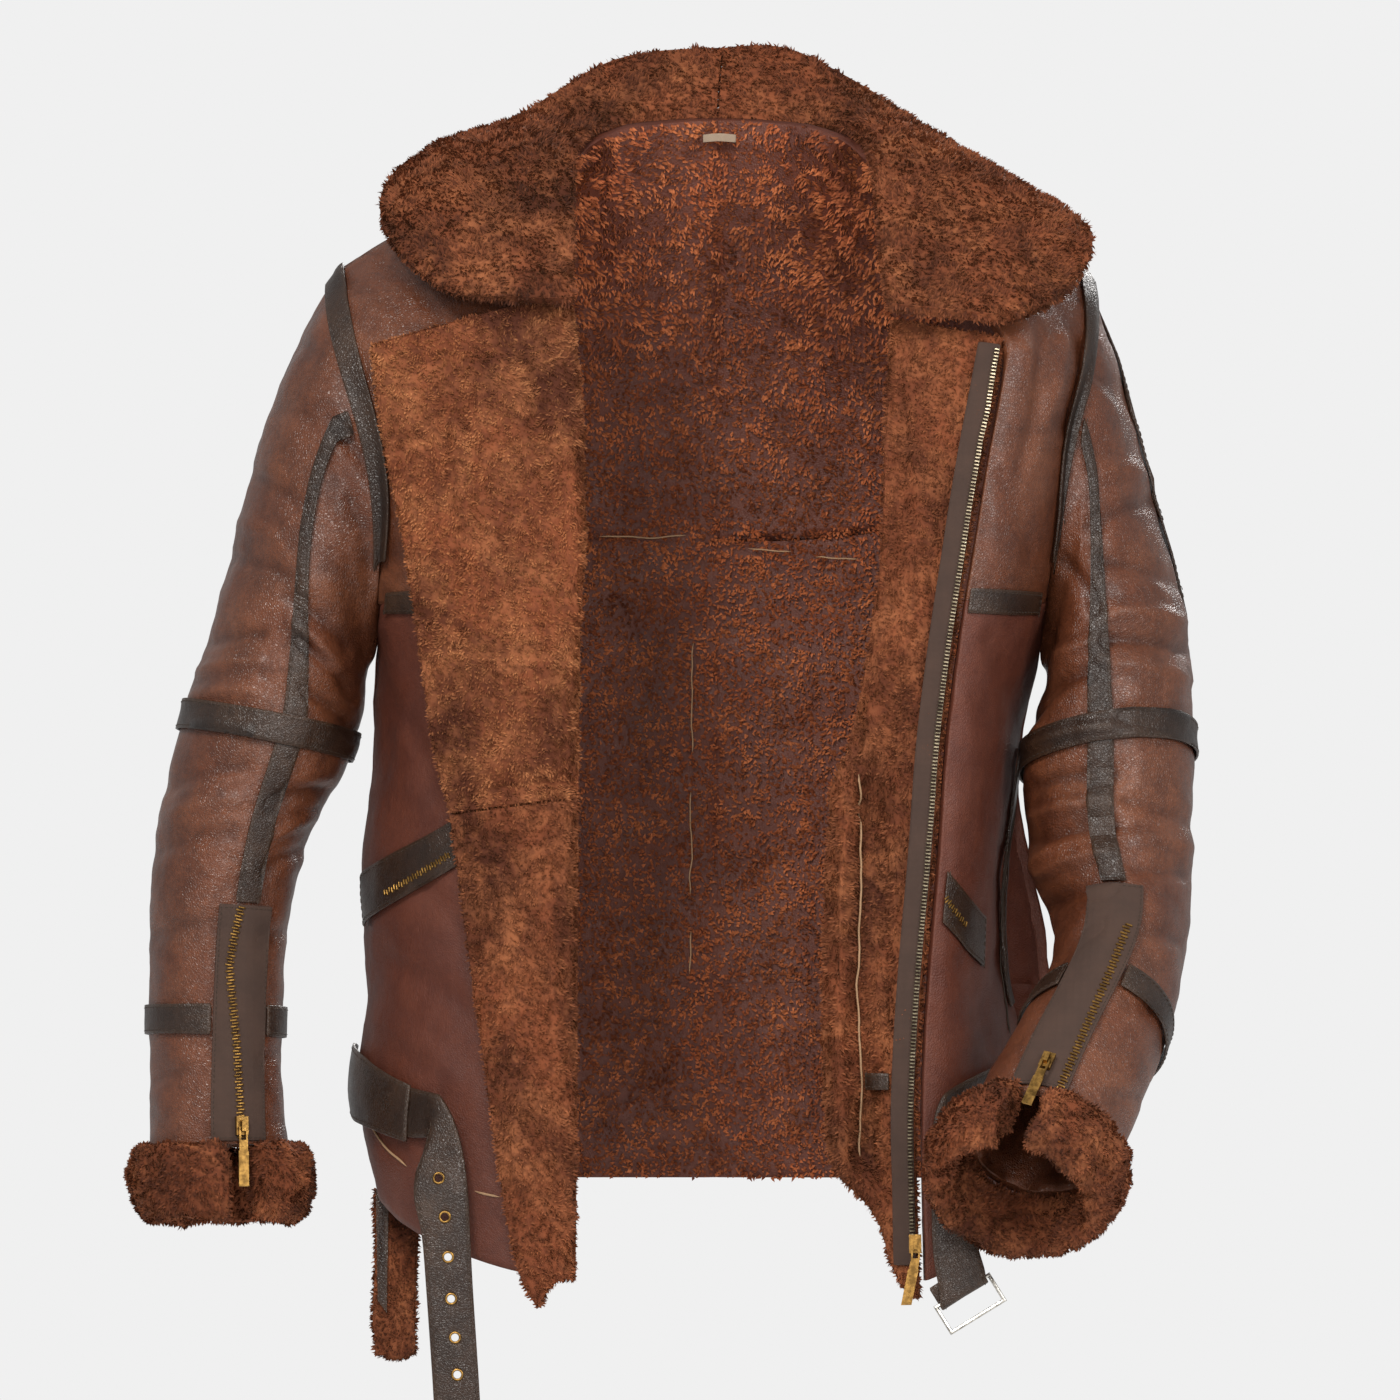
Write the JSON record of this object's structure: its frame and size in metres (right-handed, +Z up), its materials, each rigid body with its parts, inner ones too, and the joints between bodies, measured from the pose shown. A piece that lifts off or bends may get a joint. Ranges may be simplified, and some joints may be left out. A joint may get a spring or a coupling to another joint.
{
  "type": "flying jacket",
  "caption": "Sheepskin flying jacket worn open: fur collar, folded front edge, taped seams, zipped fur cuffs and a hanging belt.",
  "frame": {"origin": "middle of the shoulder line at the neck, where a wearer carries the jacket", "axes": "+X to the viewer's right, -Y out of the open front, +Z up"},
  "size_m": [0.6979, 0.4152, 0.9329],
  "materials": {
    "smooth_leather": "smooth brown hide, satin",
    "matt_leather": "matt brown hide",
    "fur": "clipped chestnut pile",
    "dark_trim": "dark brown strip leather",
    "zip_tape": "woven tape",
    "brass": "aged brass",
    "steel": "brushed",
    "loop_cloth": "woven loop"
  },
  "bodies": {
    "jacket": {"sleeve_left_upper_inner": "smooth_leather", "sleeve_left_upper_outer": "smooth_leather", "sleeve_left_lower_inner": "smooth_leather", "sleeve_left_lower_outer": "smooth_leather", "sleeve_right_upper_inner": "smooth_leather", "sleeve_right_upper_outer": "smooth_leather", "sleeve_right_lower_inner": "smooth_leather", "sleeve_right_lower_outer": "smooth_leather", "front_left_upper": "smooth_leather", "front_right_upper": "smooth_leather", "back_upper_left": "matt_leather", "back_upper_right": "matt_leather", "back_middle_left": "matt_leather", "back_middle_right": "matt_leather", "back_lower_left": "matt_leather", "back_lower_right": "matt_leather", "front_left_lower": "matt_leather", "front_right_lower": "matt_leather", "lapel_upper": "fur", "lapel_lower": "fur", "storm_flap": "fur", "collar_left": "fur", "collar_right": "fur", "cuff_fur_left": "fur", "cuff_fur_right": "fur", "fur_tab": "fur", "tape_armhole_left": "dark_trim", "tape_armhole_right": "dark_trim", "tape_front_seam_left": "dark_trim", "tape_front_seam_right": "dark_trim", "tape_back_seam_left": "dark_trim", "tape_back_seam_right": "dark_trim", "tape_elbow_left": "dark_trim", "tape_elbow_right": "dark_trim", "tape_forearm_left": "dark_trim", "tape_forearm_right": "dark_trim", "tape_chest_left": "dark_trim", "tape_chest_right": "dark_trim", "tape_vent_right": "dark_trim", "tape_back_cross": "dark_trim", "tape_back_centre": "dark_trim", "pocket_welt_left": "dark_trim", "pocket_welt_right": "dark_trim", "flap_keeper": "dark_trim", "belt": "dark_trim", "belt_loop": "dark_trim", "cuff_placket_left": "zip_tape", "cuff_placket_right": "zip_tape", "zip_tape_right": "zip_tape", "zip_tape_left": "zip_tape", "cuff_slider_left": "brass", "cuff_slider_right": "brass", "zip_slider": "brass", "hang_loop": "loop_cloth"},
    "cuff_pull_left_body": {"cuff_pull_left": "brass"},
    "cuff_pull_right_body": {"cuff_pull_right": "brass"},
    "zip_pull_body": {"zip_pull": "brass"},
    "buckle_frame_body": {"buckle_frame": "steel"}
  },
  "joints": [
    {"name": "cuff_pull_left_hinge", "type": "hinge", "parent": "jacket", "child": "cuff_pull_left_body", "pos_m": [-0.29902, -0.07777, -0.59214], "axis": [-0.9434, -0.3317, 0.0069], "range_deg": [0, 140]},
    {"name": "cuff_pull_right_hinge", "type": "hinge", "parent": "jacket", "child": "cuff_pull_right_body", "pos_m": [0.2191, -0.24014, -0.54612], "axis": [-0.9398, 0.2431, 0.2403], "range_deg": [0, 140]},
    {"name": "zip_pull_hinge", "type": "hinge", "parent": "jacket", "child": "zip_pull_body", "pos_m": [0.13563, -0.1521, -0.66744], "axis": [-0.9998, 0, -0.02], "range_deg": [0, 140]},
    {"name": "buckle_frame_hinge", "type": "hinge", "parent": "jacket", "child": "buckle_frame_body", "pos_m": [0.166, -0.158, -0.6965], "axis": [0.8508, 0, 0.5255], "range_deg": [-100, 15]}
  ]
}
